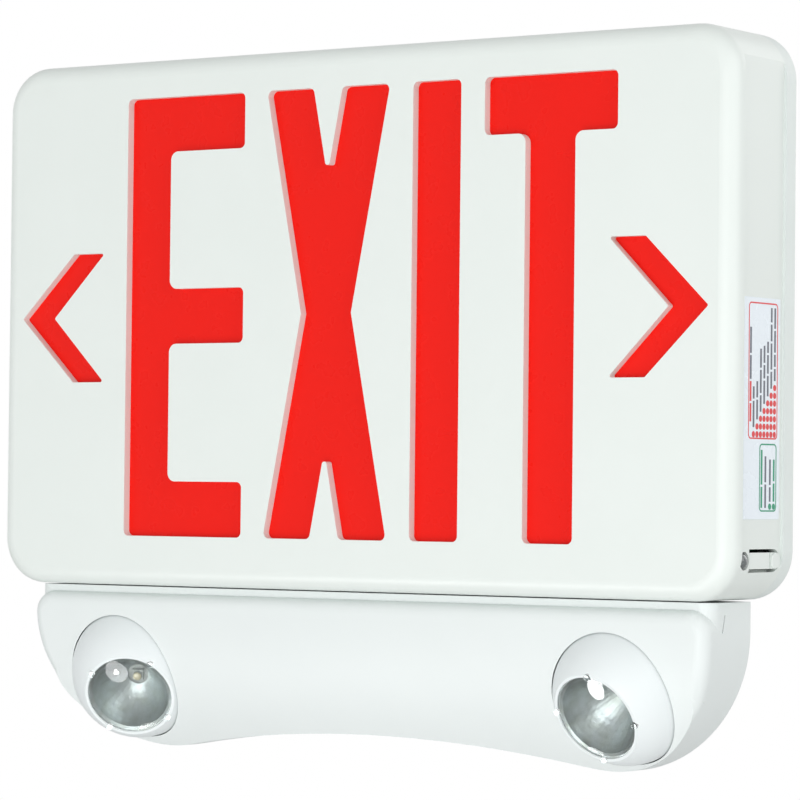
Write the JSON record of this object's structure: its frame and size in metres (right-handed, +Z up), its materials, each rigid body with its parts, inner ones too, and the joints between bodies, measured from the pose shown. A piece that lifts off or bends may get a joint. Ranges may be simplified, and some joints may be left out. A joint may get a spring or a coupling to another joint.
{
  "type": "emergency exit light",
  "caption": "Wall-mounted emergency exit light: a flat box sign with cut-out legend and direction chevrons, over a rounded base that holds adjustable eyeball lamp heads.",
  "frame": {"origin": "centre of the cable entry in the back plate's rear face, midway between the two wall screws", "axes": "+X to the right as the sign is read, +Y into the wall, +Z up; the rear face lies on y = 0 and the sign faces -Y"},
  "size_m": [0.2984, 0.0464, 0.2403],
  "materials": {
    "sign_white": "satin moulded",
    "base_white": "satin moulded",
    "ball_white": "satin moulded",
    "back_white": "fine moulded grain",
    "legend_red": "satin diffusing sheet",
    "light_box_white": "plain moulded",
    "screw_steel": "zinc plated",
    "pin_steel": "plain",
    "strap_steel": "plain",
    "board_green": "solder resist",
    "strip_white": "white solder resist",
    "emitter_yellow": "clear resin",
    "transformer_iron": "varnished laminations",
    "relay_blue": "moulded",
    "capacitor_can": "sleeved can",
    "terminal_grey": "moulded",
    "battery_sleeve": "shrink sleeve",
    "switch_black": "moulded",
    "lamp_dark": "tinted resin, unlit",
    "label_film": "printed film",
    "lens_clear": "clear polished",
    "reflector_metal": "vacuum metallised",
    "spreader_aluminium": "turned",
    "yoke_black": "moulded",
    "washer_rubber": "matt"
  },
  "bodies": {
    "housing": {"front_cover": "sign_white", "back_plate": "back_white", "back_screws": "screw_steel", "legend_panel": "legend_red", "light_box": "light_box_white", "light_box_screws": "screw_steel", "charger_board": "board_green", "board_screws": "screw_steel", "transformer": "transformer_iron", "relay": "relay_blue", "capacitors": "capacitor_can", "terminal_block": "terminal_grey", "battery_pack": "battery_sleeve", "battery_strap": "strap_steel", "strap_screws": "screw_steel", "test_board": "board_green", "test_switch": "switch_black", "status_led": "lamp_dark", "status_label": "label_film", "lamp_housing": "base_white", "lamp_housing_back": "back_white", "base_back_screws": "screw_steel", "neck_screws": "screw_steel", "upper_led_strip": "strip_white", "upper_strip_leds": "emitter_yellow", "lower_led_strip": "strip_white", "lower_strip_leds": "emitter_yellow", "left_pivot_screw": "pin_steel", "left_friction_washer": "washer_rubber", "right_pivot_screw": "pin_steel", "right_friction_washer": "washer_rubber"},
    "left_swivel": {"left_yoke": "yoke_black"},
    "left_head": {"left_ball": "ball_white", "left_lens": "lens_clear", "left_reflector": "reflector_metal", "left_heat_spreader": "spreader_aluminium", "left_lamp_board": "strip_white", "left_trunnion_pins": "pin_steel"},
    "right_swivel": {"right_yoke": "yoke_black"},
    "right_head": {"right_ball": "ball_white", "right_lens": "lens_clear", "right_reflector": "reflector_metal", "right_heat_spreader": "spreader_aluminium", "right_lamp_board": "strip_white", "right_trunnion_pins": "pin_steel"},
    "button": {"test_button": "sign_white"}
  },
  "joints": [
    {"name": "left_head_swivel", "type": "hinge", "parent": "housing", "child": "left_swivel", "pos_m": [-0.1, -0.02188, -0.12185], "axis": [0, -0.9134, -0.4071], "range_deg": [-165, 15]},
    {"name": "left_head_tilt", "type": "hinge", "parent": "left_swivel", "child": "left_head", "pos_m": [-0.1, -0.02188, -0.12185], "axis": [0.2588, -0.3932, 0.8823], "range_deg": [-48.2, 1.8]},
    {"name": "right_head_swivel", "type": "hinge", "parent": "housing", "child": "right_swivel", "pos_m": [0.1, -0.02188, -0.12185], "axis": [0, -0.9134, -0.4071], "range_deg": [-26.5, 153.5]},
    {"name": "right_head_tilt", "type": "hinge", "parent": "right_swivel", "child": "right_head", "pos_m": [0.1, -0.02188, -0.12185], "axis": [0.4462, 0.3643, -0.8174], "range_deg": [-31.7, 18.3]},
    {"name": "test_button_press", "type": "hinge", "parent": "housing", "child": "button", "pos_m": [0.1474, -0.0279, -0.07865], "axis": [0, 0, 1], "range_deg": [0, 3.4], "stiffness_Nm_per_rad": 1.2}
  ]
}
